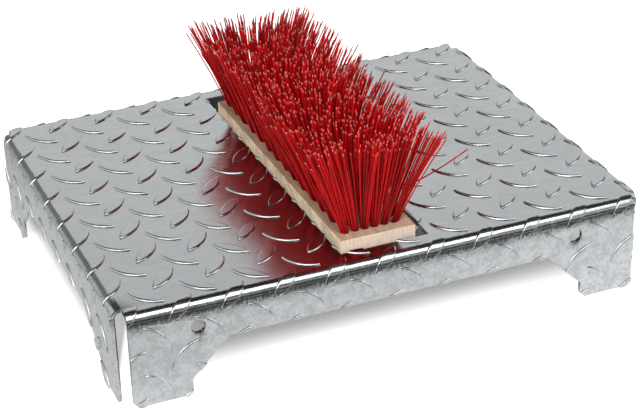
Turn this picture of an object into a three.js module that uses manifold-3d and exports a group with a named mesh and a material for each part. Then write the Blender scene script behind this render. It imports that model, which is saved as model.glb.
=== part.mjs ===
// Boot scraper: a step folded from galvanised tear plate, with a broom head set into its top.
// Sizes are millimetres. The origin is the middle of the step's base on the floor.
// X runs along the front edge, Y runs to the back and Z points up.

import * as THREE from "three";
import { mergeVertices } from "three/addons/utils/BufferGeometryUtils.js";
import Module from "manifold-3d";

// Step plate, folded down on its four sides from one sheet
const stepWidth = 400;
const stepDepth = 313.4;
const stepHeight = 72.4;
const sheet = 3;
const bendRadius = 6.3;
const bendFacets = 3;
const frontFlangeRelief = 1.3;
const sideFlangeRelief = 6.4;

// Feet left by the recess in the lower edge of each flange. The side ones have square corners.
const footWidth = 42.8;
const sideFootWidth = 37.7;
const footRise = 12.5;
const recessHeight = 40.3;
const footChamfer = 4;

// Bolt holes in the front and rear flanges
const boltHole = 10.5;
const boltHoleFromEnd = 48.7;
const boltHoleHeight = 53.4;
const boltHoleSides = 14;

// Opening that the broom head sits in
const openingWidth = 67;
const openingLength = 279;
const openingCentreX = 1.6;
const openingCentreY = 0.3;

// Raised lugs of the tear plate: a lens with a low ridge, in two crossing directions
const lugPitch = 37.57;
const lugLength = 29.6;
const lugWidth = 9.8;
const lugHeight = 1.2;
const lugTurn = Math.PI / 4;
const lugShoulder = 0.2;
const lugRoot = 0.3;
const fallingLugX = -23.1;
const fallingLugY = 13.5;
const risingLugX = -4;
const risingLugY = -5.2;

// Wooden block of the broom head
const blockWidth = 57.4;
const blockLength = 250.5;
const blockThickness = 22;
const blockStandsOut = 9.2;
const blockCorner = 1.5;
const blockCornerFacets = 3;
const blockSideGap = 0.4;
const blockEndGap = 0.8;

// Tufts: staggered rows, with the first and last row full, a little left of the block's middle
const tuftColumns = 6;
const tuftColumnPitch = 7.4;
const tuftRows = 14;
const tuftRowPitch = 17.5;
const tuftFieldX = -1.9;
const tuftRadius = 2.2;
const tuftStrands = 4;
const tuftSlices = 4;
const sliceThickness = 3;

// Bristles
const bristleHeight = 69;
const bristleUneven = 6;
const bristleLeanSide = 24;
const bristleLeanEnd = 10;
const bristleDriftRight = 4;
const bristleDriftBack = 5;
const strandRadius = 0.8;
const strandSides = 3;

// Hat-shaped straps under the opening that carry the block
const strapWidth = 30;
const strapThickness = 3;
const strapLap = 22;
const strapSlope = 9;
const strapFromBlockEnd = 45;
const strapSideRoom = 2;

// Weld beads along the strap ends
const weldLeg = 3.5;
const weldLength = 26;
const weldFacets = 4;

// Wood screws and washers, driven from below
const screwDiameter = 5;
const screwHeadDiameter = 9.6;
const screwHeadFlat = 6.4;
const screwHeadHeight = 3.2;
const screwHeadRim = 1;
const screwLength = 20;
const screwPoint = 4;
const screwSpread = 17;
const washerDiameter = 14;
const washerThickness = 1.2;
const roundSides = 12;

// Clearances: between faces that rest on each other, and round each screw
const seatGap = 0.1;
const screwGap = 0.3;

// How far a cutting shape runs past the face that it cuts
const cutOver = 2;

// Points closer than this are one point
const samePoint = 1e-4;

// Step of the sequence that spreads the bristles' lengths evenly
const goldenShare = 0.618034;

// Places worked out from the sizes above
const underside = stepHeight - sheet;
const bendArc = (bendRadius * Math.PI) / 2;
const halfFront = stepWidth / 2 - bendRadius - frontFlangeRelief;
const halfSide = stepDepth / 2 - bendRadius - sideFlangeRelief;
const blockTop = stepHeight + blockStandsOut;
const blockBottom = blockTop - blockThickness;
const openingLeft = openingCentreX - openingWidth / 2;
const openingRight = openingCentreX + openingWidth / 2;
const openingFront = openingCentreY - openingLength / 2;
const openingBack = openingCentreY + openingLength / 2;
const blockX = openingLeft + blockSideGap + blockWidth / 2;
const blockY = openingFront + blockEndGap + blockLength / 2;
const strapTop = blockBottom - seatGap;
const strapDrop = underside - seatGap - strapTop;
const washerTop = strapTop - strapThickness - seatGap;
const screwSeat = washerTop - washerThickness - seatGap;
const lastTuftRow = 2 * (tuftRows - 1);
const strapYs = [-1, 1].map((side) => blockY + side * (blockLength / 2 - strapFromBlockEnd));

const wasm = await Module();
wasm.setup();

const steel = { color: 0xb4b8ba, roughness: 0.35, metalness: 0.9 };
const zincSteel = { color: 0x8f9496, roughness: 0.5, metalness: 0.85 };
const weldSteel = { color: 0x7d8284, roughness: 0.6, metalness: 0.8 };
const screwSteel = { color: 0xc2c0b4, roughness: 0.3, metalness: 0.9 };
const beech = { color: 0xd9bf98, roughness: 0.75, metalness: 0 };
const redPlastic = { color: 0xb01216, roughness: 0.45, metalness: 0 };

// A closed geometry as a solid that can be joined and cut.
function solidOf(geometry) {
  const bare = geometry.clone();
  bare.deleteAttribute("normal");
  bare.deleteAttribute("uv");
  const merged = mergeVertices(bare, samePoint);
  const mesh = new wasm.Mesh({
    numProp: 3,
    vertProperties: merged.attributes.position.array,
    triVerts: new Uint32Array(merged.index.array),
  });
  return new wasm.Manifold(mesh);
}

function geometryOfPoints(points, faces) {
  const geometry = new THREE.BufferGeometry();
  geometry.setAttribute("position", new THREE.Float32BufferAttribute(points.flat(), 3));
  geometry.setIndex(faces.flat());
  return geometry;
}

function pointsOf(solid) {
  const { numProp, vertProperties, triVerts } = solid.getMesh();
  const points = [];
  for (let i = 0; i < vertProperties.length; i += numProp) {
    points.push([...vertProperties.subarray(i, i + 3)]);
  }
  const faces = [];
  for (let i = 0; i < triVerts.length; i += 3) {
    faces.push([...triVerts.subarray(i, i + 3)]);
  }
  return { points, faces };
}

function geometryOf(solid) {
  const { points, faces } = pointsOf(solid);
  const geometry = geometryOfPoints(points, faces).toNonIndexed();
  geometry.computeVertexNormals();
  return geometry;
}

function shapeOf(corners) {
  return new THREE.Shape(corners.map(([x, y]) => new THREE.Vector2(x, y)));
}

function extruded(shape, depth) {
  const curveSegments = blockCornerFacets;
  return new THREE.ExtrudeGeometry(shape, { depth, bevelEnabled: false, curveSegments });
}

function rectangle(left, right, low, high) {
  return shapeOf([[left, low], [right, low], [right, high], [left, high]]);
}

// A round bar along Z, as a solid for cutting holes.
function bar(diameter, low, high, sides) {
  const radius = diameter / 2 / Math.cos(Math.PI / sides);
  const cylinder = new THREE.CylinderGeometry(radius, radius, high - low, sides);
  cylinder.rotateX(Math.PI / 2);
  return cylinder.translate(0, 0, (low + high) / 2);
}

// Distance of a height from the middle of the flat sheet, for a flange folded at half a step size.
function flatReach(half, height) {
  return half - bendRadius + bendArc + (stepHeight - bendRadius - height);
}

// The flat blank: the top with four plain flanges and a square notch at each corner.
function blankShape() {
  const reachX = flatReach(stepWidth / 2, 0);
  const reachY = flatReach(stepDepth / 2, 0);
  const quarter = [[reachX, halfSide], [halfFront, halfSide], [halfFront, reachY]];
  const mirrored = (signX, signY) => quarter.map(([x, y]) => [signX * x, signY * y]);
  return shapeOf([
    ...mirrored(1, 1),
    ...mirrored(-1, 1).reverse(),
    ...mirrored(-1, -1),
    ...mirrored(1, -1).reverse(),
  ]);
}

// One lug on the flat sheet: its ridge, and six points that its flanks reach just under the face.
function lug(centreX, centreY, turn) {
  const spread = (lugHeight + lugRoot) / lugHeight;
  const shoulder = lugLength * lugShoulder;
  const tip = shoulder + (lugLength / 2 - shoulder) * spread;
  const flank = (lugWidth / 2) * spread;
  const foot = [
    [tip, 0],
    [shoulder, flank],
    [-shoulder, flank],
    [-tip, 0],
    [-shoulder, -flank],
    [shoulder, -flank],
  ];
  const ridge = [[shoulder, 0], [-shoulder, 0]];
  const place = ([along, across], rise) => [
    centreX + along * Math.cos(turn) - across * Math.sin(turn),
    centreY + along * Math.sin(turn) + across * Math.cos(turn),
    rise,
  ];
  const points = [
    ...foot.map((point) => place(point, -lugRoot)),
    ...ridge.map((point) => place(point, lugHeight)),
  ];
  const faces = [
    [0, 2, 1], [0, 3, 2], [0, 4, 3], [0, 5, 4],
    [0, 1, 6], [1, 2, 7], [1, 7, 6], [2, 3, 7],
    [3, 4, 7], [4, 5, 6], [4, 6, 7], [5, 0, 6],
  ];
  return { points, faces };
}

// Both crossing rows of lugs over the whole flat sheet, as one geometry of separate bodies.
function lugField() {
  const points = [];
  const faces = [];
  const reachX = flatReach(stepWidth / 2, 0);
  const reachY = flatReach(stepDepth / 2, 0);
  const add = (startX, startY, turn) => {
    const firstColumn = Math.ceil((-reachX - startX) / lugPitch);
    const lastColumn = Math.floor((reachX - startX) / lugPitch);
    const firstRow = Math.ceil((-reachY - startY) / lugPitch);
    const lastRow = Math.floor((reachY - startY) / lugPitch);
    for (let column = firstColumn; column <= lastColumn; column++) {
      for (let row = firstRow; row <= lastRow; row++) {
        const one = lug(startX + column * lugPitch, startY + row * lugPitch, turn);
        const offset = points.length;
        points.push(...one.points);
        faces.push(...one.faces.map((face) => face.map((corner) => corner + offset)));
      }
    }
  };
  add(fallingLugX, fallingLugY, -lugTurn);
  add(risingLugX, risingLugY, lugTurn);
  return geometryOfPoints(points, faces);
}

// Cuts the triangles that cross a straight line over the flat sheet, so that it can turn there.
function crease({ points, faces }, axis, at) {
  const made = new Map();
  for (const point of points) {
    if (Math.abs(point[axis] - at) < samePoint) point[axis] = at;
  }
  const between = (a, b) => {
    const key = Math.min(a, b) + " " + Math.max(a, b);
    if (!made.has(key)) {
      const share = (at - points[a][axis]) / (points[b][axis] - points[a][axis]);
      const point = points[a].map((value, i) => value + share * (points[b][i] - value));
      point[axis] = at;
      points.push(point);
      made.set(key, points.length - 1);
    }
    return made.get(key);
  };
  const cut = faces.flatMap((face) => {
    const sides = face.map((corner) => Math.sign(points[corner][axis] - at));
    if (!(sides.includes(1) && sides.includes(-1))) return [face];
    const total = sides[0] + sides[1] + sides[2];
    const first = sides.indexOf(total === 0 ? 0 : -Math.sign(total));
    const [a, b, c] = [0, 1, 2].map((step) => face[(first + step) % 3]);
    if (total === 0) {
      const middle = between(b, c);
      return [[a, b, middle], [a, middle, c]];
    }
    const ab = between(a, b);
    const ac = between(a, c);
    return [[a, ab, ac], [ab, b, c], [ab, c, ac]];
  });
  return { points, faces: cut };
}

// Where a point of the flat sheet goes when one side of it is folded down.
function foldedOver(distance, half, rise) {
  const past = Math.abs(distance) - (half - bendRadius);
  if (past <= 0) return { out: distance, height: stepHeight + rise };
  const angle = Math.min(past / bendRadius, Math.PI / 2);
  const out = half - bendRadius + (bendRadius + rise) * Math.sin(angle);
  const straight = Math.max(past - bendArc, 0);
  const height = stepHeight - bendRadius + (bendRadius + rise) * Math.cos(angle) - straight;
  return { out: Math.sign(distance) * out, height };
}

function folded([flatX, flatY, rise]) {
  const side = foldedOver(flatX, stepWidth / 2, rise);
  const front = foldedOver(flatY, stepDepth / 2, rise);
  return [side.out, front.out, Math.min(side.height, front.height)];
}

// A flat piece of the sheet, given creases along the bends and folded to shape.
function foldedSolid(flatSolid) {
  let flat = pointsOf(flatSolid);
  for (const [axis, half] of [[0, stepWidth / 2], [1, stepDepth / 2]]) {
    for (const side of [-1, 1]) {
      for (let facet = 0; facet <= bendFacets; facet++) {
        const past = (bendArc * facet) / bendFacets;
        flat = crease(flat, axis, side * (half - bendRadius + past));
      }
    }
  }
  return solidOf(geometryOfPoints(flat.points.map(folded), flat.faces));
}

// The recess between the feet of a flange, seen square on, with the lower end of its side given.
function recessShape(inner, lowEnd) {
  const slope = recessHeight - footRise;
  const halfRecess = [...lowEnd, [inner, footRise], [inner - slope, recessHeight]];
  return shapeOf([...halfRecess, ...halfRecess.map(([x, z]) => [-x, z]).reverse()]);
}

// What is cut from the front and rear flanges: the recess and the chamfered corners of each foot.
function frontCutShapes() {
  const halfFlange = halfFront;
  const inner = halfFlange - footWidth;
  const recess = recessShape(inner, [[inner + footChamfer + cutOver, -cutOver], [inner, footChamfer]]);
  const corner = [
    [halfFlange - footChamfer - cutOver, -cutOver],
    [halfFlange + cutOver, -cutOver],
    [halfFlange + cutOver, footChamfer + cutOver],
  ];
  const otherCorner = corner.map(([x, z]) => [-x, z]).reverse();
  return [recess, shapeOf(corner), shapeOf(otherCorner)];
}

// The step: sheet and lugs folded together, then cut through by the recesses, holes and opening.
function stepPlate() {
  const blank = blankShape();
  const slab = solidOf(extruded(blank, sheet).translate(0, 0, -sheet));
  const reach = extruded(blank, 2 * (lugRoot + lugHeight)).translate(0, 0, -lugRoot - lugHeight);
  const lugs = solidOf(lugField()).intersect(solidOf(reach));
  let plate = foldedSolid(slab).add(foldedSolid(lugs));
  const throughY = stepDepth + 2 * (lugHeight + cutOver);
  for (const shape of frontCutShapes()) {
    const cut = extruded(shape, throughY).rotateX(Math.PI / 2).translate(0, throughY / 2, 0);
    plate = plate.subtract(solidOf(cut));
  }
  const throughX = stepWidth + 2 * (lugHeight + cutOver);
  const sideInner = halfSide - sideFootWidth;
  const sideRecess = extruded(recessShape(sideInner, [[sideInner, -cutOver]]), throughX);
  sideRecess.rotateX(Math.PI / 2).translate(0, throughX / 2, 0).rotateZ(Math.PI / 2);
  plate = plate.subtract(solidOf(sideRecess));
  for (const side of [-1, 1]) {
    const hole = bar(boltHole, -throughY / 2, throughY / 2, boltHoleSides).rotateX(Math.PI / 2);
    const x = side * (halfFront - boltHoleFromEnd);
    plate = plate.subtract(solidOf(hole.translate(x, 0, boltHoleHeight)));
  }
  const opening = rectangle(openingLeft, openingRight, openingFront, openingBack);
  const depth = sheet + lugHeight + 2 * cutOver;
  const cut = extruded(opening, depth).translate(0, 0, underside - cutOver);
  return geometryOf(plate.subtract(solidOf(cut)));
}

// Distance of a staggered row from the middle of the block. A row between two rows has a half number.
function rowPlace(row) {
  return ((row - (tuftRows - 1)) * tuftRowPitch) / 2;
}

// Middles of the tufts, with the full first and last rows.
function tuftPlaces() {
  const places = [];
  for (let row = 0; row <= lastTuftRow; row++) {
    for (let column = 0; column < tuftColumns; column++) {
      const endRow = row === 0 || row === lastTuftRow;
      if (!endRow && (row + column) % 2 === 1) continue;
      const x = tuftFieldX + (column - (tuftColumns - 1) / 2) * tuftColumnPitch;
      places.push([x, rowPlace(row)]);
    }
  }
  return places;
}

// Where one slice of the block's top ends: at the block's end, or half way between two rows.
function sliceEdge(slice) {
  if (slice === 0) return -blockLength / 2;
  if (slice === tuftSlices) return blockLength / 2;
  return rowPlace(Math.round((slice * (lastTuftRow + 1)) / tuftSlices) - 0.5);
}

// Sideways reach of a bristle of full height: more towards the edges of the brush, and all drift alike.
function lean([x, y]) {
  const halfWidth = ((tuftColumns - 1) * tuftColumnPitch) / 2 + tuftRadius;
  const halfLength = ((tuftRows - 1) * tuftRowPitch) / 2 + tuftRadius;
  return [
    (bristleLeanSide * (x - tuftFieldX)) / halfWidth + bristleDriftRight,
    bristleLeanEnd * (y / halfLength) ** 3 + bristleDriftBack,
  ];
}

// One straight strand from inside its slice to its cut tip.
function strand(base, height) {
  const [leanX, leanY] = lean(base);
  const root = sliceThickness / 2;
  const points = [-root, height].flatMap((z) =>
    Array.from({ length: strandSides }, (_, corner) => {
      const angle = (2 * Math.PI * corner) / strandSides;
      const share = Math.max(z, 0) / bristleHeight;
      return [
        base[0] + strandRadius * Math.cos(angle) + leanX * share,
        base[1] + strandRadius * Math.sin(angle) + leanY * share,
        z,
      ];
    }),
  );
  const faces = [];
  for (let i = 1; i < strandSides - 1; i++) {
    faces.push([0, i + 1, i], [strandSides, strandSides + i, strandSides + i + 1]);
  }
  for (let i = 0; i < strandSides; i++) {
    const next = (i + 1) % strandSides;
    faces.push([i, next, next + strandSides], [i, next + strandSides, i + strandSides]);
  }
  return { points, faces };
}

// A quarter of the bristles, standing on the slice of the block's top that holds them.
function bristleSlice(slice) {
  const low = sliceEdge(slice);
  const high = sliceEdge(slice + 1);
  const points = [];
  const faces = [];
  tuftPlaces().forEach(([x, y], tuft) => {
    if (y < low || y > high) return;
    for (let i = 0; i < tuftStrands; i++) {
      const angle = (2 * Math.PI * (i + tuft / 2)) / tuftStrands;
      const base = [x + tuftRadius * Math.cos(angle), y + tuftRadius * Math.sin(angle)];
      const uneven = ((tuft * tuftStrands + i) * goldenShare) % 1;
      const one = strand(base, bristleHeight - bristleUneven * uneven);
      const offset = points.length;
      points.push(...one.points);
      faces.push(...one.faces.map((face) => face.map((corner) => corner + offset)));
    }
  });
  const ends = [low + seatGap / 2, high - seatGap / 2];
  const wood = extruded(rectangle(-blockWidth / 2, blockWidth / 2, ...ends), sliceThickness);
  const backing = solidOf(wood.translate(0, 0, -sliceThickness));
  return geometryOf(backing.add(solidOf(geometryOfPoints(points, faces))));
}

// The block below its bristle slices, with a hole for each screw. Its middle top is the origin.
function brushBlock() {
  const halfWidth = blockWidth / 2 - blockCorner;
  const halfLength = blockLength / 2 - blockCorner;
  const outline = new THREE.Shape();
  outline.absarc(halfWidth, halfLength, blockCorner, 0, Math.PI / 2);
  outline.absarc(-halfWidth, halfLength, blockCorner, Math.PI / 2, Math.PI);
  outline.absarc(-halfWidth, -halfLength, blockCorner, Math.PI, 1.5 * Math.PI);
  outline.absarc(halfWidth, -halfLength, blockCorner, 1.5 * Math.PI, 2 * Math.PI);
  const height = blockThickness - sliceThickness - seatGap;
  const wood = extruded(outline, height).translate(0, 0, -blockThickness);
  let block = solidOf(wood);
  const holeEnd = screwSeat + screwLength + screwGap - blockTop;
  for (const y of strapYs) {
    for (const side of [-1, 1]) {
      const low = -blockThickness - cutOver;
      const hole = bar(screwDiameter + 2 * screwGap, low, holeEnd, roundSides);
      block = block.subtract(solidOf(hole.translate(side * screwSpread, y - blockY, 0)));
    }
  }
  return geometryOf(block);
}

// One strap: flat laps under the plate, sloping legs and a dropped middle with two screw holes.
// The origin is on the top of its middle, below the block.
function strap() {
  const innerLeft = openingLeft - strapSideRoom;
  const innerRight = openingRight + strapSideRoom;
  const top = [
    [innerLeft - strapSlope - strapLap, strapDrop],
    [innerLeft - strapSlope, strapDrop],
    [innerLeft, 0],
    [innerRight, 0],
    [innerRight + strapSlope, strapDrop],
    [innerRight + strapSlope + strapLap, strapDrop],
  ];
  const mitre = strapThickness * Math.tan(Math.atan2(strapDrop, strapSlope) / 2);
  const mitres = [0, -mitre, -mitre, mitre, mitre, 0];
  const bottom = top.map(([x, z], i) => [x + mitres[i], z - strapThickness]).reverse();
  const profile = extruded(shapeOf([...bottom, ...top]), strapWidth);
  profile.rotateX(Math.PI / 2).translate(0, strapWidth / 2, 0);
  let made = solidOf(profile);
  for (const side of [-1, 1]) {
    const low = -strapThickness - cutOver;
    const hole = bar(screwDiameter + 2 * screwGap, low, cutOver, roundSides);
    made = made.subtract(solidOf(hole.translate(blockX + side * screwSpread, 0, 0)));
  }
  return geometryOf(made);
}

// A weld bead in the corner between a strap's end and the plate: a quarter round along Y.
function weldBead(side) {
  const arc = Array.from({ length: weldFacets + 1 }, (_, i) => {
    const angle = (Math.PI / 2) * (i / weldFacets);
    return [side * weldLeg * Math.cos(angle), -weldLeg * Math.sin(angle)];
  });
  const bead = extruded(shapeOf([[0, 0], ...arc]), weldLength);
  return bead.rotateX(Math.PI / 2).translate(0, weldLength / 2, 0);
}

// A turned piece: radius and height pairs, from the lowest point of the profile up.
function turned(profile) {
  const points = profile.map(([radius, height]) => new THREE.Vector2(radius, height));
  return new THREE.LatheGeometry(points, roundSides).rotateX(Math.PI / 2);
}

// A pan-head wood screw that points up. The origin is where its head bears.
function woodScrew() {
  const head = screwHeadDiameter / 2;
  const shank = screwDiameter / 2;
  return turned([
    [0, -screwHeadHeight],
    [screwHeadFlat / 2, -screwHeadHeight],
    [head, -screwHeadRim],
    [head, 0],
    [shank, 0],
    [shank, screwLength - screwPoint],
    [0, screwLength],
  ]);
}

function washer() {
  const inner = screwDiameter / 2 + screwGap;
  const outer = washerDiameter / 2;
  return turned([
    [inner, -washerThickness],
    [outer, -washerThickness],
    [outer, 0],
    [inner, 0],
    [inner, -washerThickness],
  ]);
}

function mesh(name, geometry, finish, x = 0, y = 0, z = 0) {
  const made = new THREE.Mesh(geometry, new THREE.MeshStandardMaterial(finish));
  made.name = name;
  made.position.set(x, y, z);
  return made;
}

// The broom head: block and bristles, about the middle of the block's top.
function brush() {
  const group = new THREE.Group();
  group.position.set(blockX, blockY, blockTop);
  group.add(mesh("brush_block", brushBlock(), beech));
  for (let slice = 0; slice < tuftSlices; slice++) {
    group.add(mesh("bristles_" + (slice + 1), bristleSlice(slice), redPlastic));
  }
  return group;
}

// One strap with its welds, washers and screws.
function support(place, y) {
  const group = new THREE.Group();
  group.position.set(0, y, strapTop);
  group.add(mesh(place + "_strap", strap(), zincSteel));
  for (const [hand, side] of [["left", -1], ["right", 1]]) {
    const edge = side < 0 ? openingLeft : openingRight;
    const lapEnd = edge + side * (strapSideRoom + strapSlope + strapLap + seatGap);
    group.add(mesh(place + "_" + hand + "_weld", weldBead(side), weldSteel, lapEnd, 0, strapDrop));
    const x = blockX + side * screwSpread;
    group.add(mesh(place + "_" + hand + "_washer", washer(), screwSteel, x, 0, washerTop - strapTop));
    group.add(mesh(place + "_" + hand + "_screw", woodScrew(), screwSteel, x, 0, screwSeat - strapTop));
  }
  return group;
}

const scraper = new THREE.Group();
scraper.add(mesh("step_plate", stepPlate(), steel));
scraper.add(brush());
scraper.add(support("front", strapYs[0]));
scraper.add(support("rear", strapYs[1]));

export default scraper;
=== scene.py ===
"""Boot scraper: a low step folded from galvanised tear plate, with a broom head set into its top."""
import math

import bmesh
import bpy
from bpy.props import FloatProperty, FloatVectorProperty, IntProperty, PointerProperty
from mathutils import Matrix, Vector
from mathutils.geometry import delaunay_2d_cdt


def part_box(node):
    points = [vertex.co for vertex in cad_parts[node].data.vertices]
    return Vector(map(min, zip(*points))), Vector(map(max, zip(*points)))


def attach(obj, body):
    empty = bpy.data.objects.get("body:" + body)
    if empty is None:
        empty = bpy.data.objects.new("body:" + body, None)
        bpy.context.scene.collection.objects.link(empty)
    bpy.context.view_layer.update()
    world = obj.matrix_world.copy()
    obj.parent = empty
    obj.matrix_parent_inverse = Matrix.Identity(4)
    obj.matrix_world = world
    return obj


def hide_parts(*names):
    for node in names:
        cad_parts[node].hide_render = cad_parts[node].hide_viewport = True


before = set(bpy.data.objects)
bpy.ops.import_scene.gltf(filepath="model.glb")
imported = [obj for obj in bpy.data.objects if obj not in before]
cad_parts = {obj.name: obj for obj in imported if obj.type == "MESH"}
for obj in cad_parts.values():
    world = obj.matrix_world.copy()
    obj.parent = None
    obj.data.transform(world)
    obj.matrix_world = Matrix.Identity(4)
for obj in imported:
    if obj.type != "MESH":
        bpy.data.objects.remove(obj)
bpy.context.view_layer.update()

bl_info = {
    "name": "Boot Scraper",
    "version": (1, 0, 0),
    "blender": (4, 5, 0),
    "location": "View3D > Sidebar > Boot Scraper",
    "description": "Builds a tear plate step with a broom head set into its top",
    "category": "Object",
}

MM = 0.001
BODY = "root"
QUARTER_TURN = math.pi / 2
FULL_TURN = 2 * math.pi
RIM_ANGLE = math.radians(60)
BLOCK_LOW, BLOCK_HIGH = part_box("brush_block")
BRISTLE_SLICE = 3 * MM
BLOCK_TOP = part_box("bristles_1")[0].z + BRISTLE_SLICE
WHITE = (1.0, 1.0, 1.0, 1.0)


def length(name, description, millimetres):
    """A length that a user can change."""
    default = millimetres * MM
    return FloatProperty(
        name=name, description=description, default=default, min=0.0, unit="LENGTH", precision=5
    )


def place(name, description, millimetres):
    """A coordinate that a user can change."""
    default = millimetres * MM
    return FloatProperty(name=name, description=description, default=default, unit="LENGTH", precision=5)


def count(name, description, default, low=1):
    """A number of things that a user can change."""
    return IntProperty(name=name, description=description, default=default, min=low)


def colour(name, description, default):
    """A colour that a user can change."""
    return FloatVectorProperty(
        name=name, description=description, default=default, size=3, min=0.0, max=1.0, subtype="COLOR"
    )


class PlateSettings(bpy.types.PropertyGroup):
    """Sizes and finish of the folded step."""

    width: length("Width", "Step from its left to its right flange", 400)
    depth: length("Depth", "Step from its front to its rear flange", 313.4)
    height: length("Height", "Flat of the top above the floor", 72.4)
    sheet: length("Sheet", "Thickness of the sheet", 3)
    bend_radius: length("Bend radius", "Outer radius of the folds", 6.3)
    bend_facets: count("Bend facets", "Facets of each fold", 10, 2)
    edge_break: length("Edge break", "Rounding of the cut edges", 0.35)
    front_relief: length("Front relief", "Gap from the front flange's end to the side fold", 1.3)
    side_relief: length("Side relief", "Gap from the side flange's end to the front fold", 6.4)
    foot_width: length("Foot width", "Width of each foot of the front and rear flanges", 42.8)
    side_foot_width: length("Side foot width", "Width of each foot of the side flanges", 37.7)
    foot_rise: length("Foot rise", "Height of a foot's upright inner edge", 12.5)
    recess_height: length("Recess height", "Height of the gap between the feet", 40.3)
    foot_chamfer: length("Foot chamfer", "Cut corners of the front and rear feet", 4)
    bolt_hole: length("Bolt hole", "Diameter of each bolt hole", 10.5)
    bolt_from_end: length("Bolt hole from end", "Bolt hole to the end of its flange", 48.7)
    bolt_height: length("Bolt hole height", "Bolt hole above the floor", 53.4)
    opening_width: length("Opening width", "Width of the opening for the brush", 67)
    opening_length: length("Opening length", "Length of the opening for the brush", 279)
    opening_x: place("Opening centre X", "Middle of the opening", 1.6)
    opening_y: place("Opening centre Y", "Middle of the opening", 0.3)
    lug_pitch: length("Lug pitch", "Distance between lugs of one row", 37.57)
    lug_length: length("Lug length", "Length of a lug", 29.6)
    lug_width: length("Lug width", "Width of a lug", 9.8)
    lug_height: length("Lug height", "How far a lug stands out of the sheet", 1.1)
    lugs_each_way: count("Lugs each way", "Lugs along a side of the grid, which the sheet's edges trim", 17)
    falling_x: place("Falling lug X", "Middle of a lug that falls to the right", -23.1)
    falling_y: place("Falling lug Y", "Middle of a lug that falls to the right", 13.5)
    rising_x: place("Rising lug X", "Middle of a lug that rises to the right", -4)
    rising_y: place("Rising lug Y", "Middle of a lug that rises to the right", -5.2)
    zinc: colour("Zinc", "Colour of the zinc coat", (0.60, 0.625, 0.635))


class BrushSettings(bpy.types.PropertyGroup):
    """Sizes and finish of the broom head."""

    corner: length("Corner", "Rounding of the block's edges", 1.2)
    columns: count("Columns", "Tufts across the block", 6)
    half_rows: count("Half rows", "Staggered rows along the block", 27)
    field_x: place("Tuft field X", "Middle of the tufts from the middle of the block", -1.9)
    column_pitch: length("Column pitch", "Distance between columns of tufts", 7.4)
    row_pitch: length("Row pitch", "Distance between staggered rows", 8.75)
    tuft_radius: length("Tuft radius", "Radius of a tuft where it leaves the wood", 2.35)
    hole_room: length("Hole room", "Gap between a tuft and its hole", 0.6)
    hole_depth: length("Hole depth", "How deep a tuft's hole shows", 2.6)
    strands: count("Strands", "Bristles in a tuft", 17)
    strand_radius: length("Strand radius", "Radius of a bristle", 0.55)
    height: length("Bristle height", "Longest bristle above the wood", 68.6)
    uneven: length("Uneven", "How much shorter the shortest bristle is", 10)
    lean_side: length("Side lean", "How far the outer bristles lean to the side", 24)
    lean_end: length("End lean", "How far the end bristles lean along the block", 9)
    twist: length("Twist", "How far the right side leans to the front, the left to the back", 2.5)
    drift_right: place("Drift right", "How far all bristles lean to the right", 4)
    drift_back: place("Drift back", "How far all bristles lean to the back", 5)
    splay: FloatProperty(
        name="Splay", description="How far a tuft opens, as a share of its radius", default=1.5, min=0.0
    )
    wander: length("Wander", "How far a bristle strays from its tuft", 3.2)
    red: colour("Red", "Colour of the bristles", (0.66, 0.004, 0.005))
    cut_red: colour("Cut red", "Colour of the bristles' cut ends", (0.80, 0.21, 0.19))
    wood: colour("Wood", "Colour of the planed wood", (0.70, 0.49, 0.335))


class SupportSettings(bpy.types.PropertyGroup):
    """Sizes of what holds the broom head under the step."""

    strap_thickness: length("Strap thickness", "Thickness of the flat bar", 3)
    strap_bend: length("Strap bend", "Inner radius of the straps' bends", 2.5)
    strap_lap: length("Strap lap", "Length of a strap's end that lies against the step", 22)
    strap_run: length("Strap run", "Length over which a strap drops", 9)
    weld_ripple: length("Weld ripple", "Distance between the ripples of a weld", 1.3)
    head_height: length("Head height", "Height of a screw's head", 3.2)
    head_sides: count("Head sides", "Sides of a screw's head", 40, 12)
    recess_depth: length("Recess depth", "Depth of the cross in a screw's head", 1.6)
    washer_hole: length("Washer hole", "Radius of a washer's hole", 2.8)


class StageSettings(bpy.types.PropertyGroup):
    """Camera and light."""

    lens: FloatProperty(name="Lens", description="Focal length of the camera in mm", default=105.33, min=1)
    camera_x: place("Camera X", "Place of the camera", -460.46)
    camera_y: place("Camera Y", "Place of the camera", -1176.69)
    camera_z: place("Camera Z", "Place of the camera", 719.72)
    floor_size: length("Floor size", "Side of the floor", 12000)


def named(group, *keys):
    """Some settings of a group, under the names that a user sees."""
    return {group.bl_rna.properties[key].name: getattr(group, key) for key in keys}


class Value:
    """A node's output that Python's operators can calculate with."""

    def __init__(self, graph, socket):
        self.graph = graph
        self.socket = socket

    def __add__(self, other):
        return self.graph.math("ADD", self, other)

    def __sub__(self, other):
        return self.graph.math("SUBTRACT", self, other)

    def __rsub__(self, other):
        return self.graph.math("SUBTRACT", other, self)

    def __mul__(self, other):
        return self.graph.math("MULTIPLY", self, other)

    def __truediv__(self, other):
        return self.graph.math("DIVIDE", self, other)

    def __pow__(self, other):
        return self.graph.math("POWER", self, other)

    def __gt__(self, other):
        return self.graph.math("GREATER_THAN", self, other)

    def __lt__(self, other):
        return self.graph.math("LESS_THAN", self, other)

    def __abs__(self):
        return self.graph.math("ABSOLUTE", self)

    def __neg__(self):
        return self * -1.0

    __radd__ = __add__
    __rmul__ = __mul__


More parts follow.
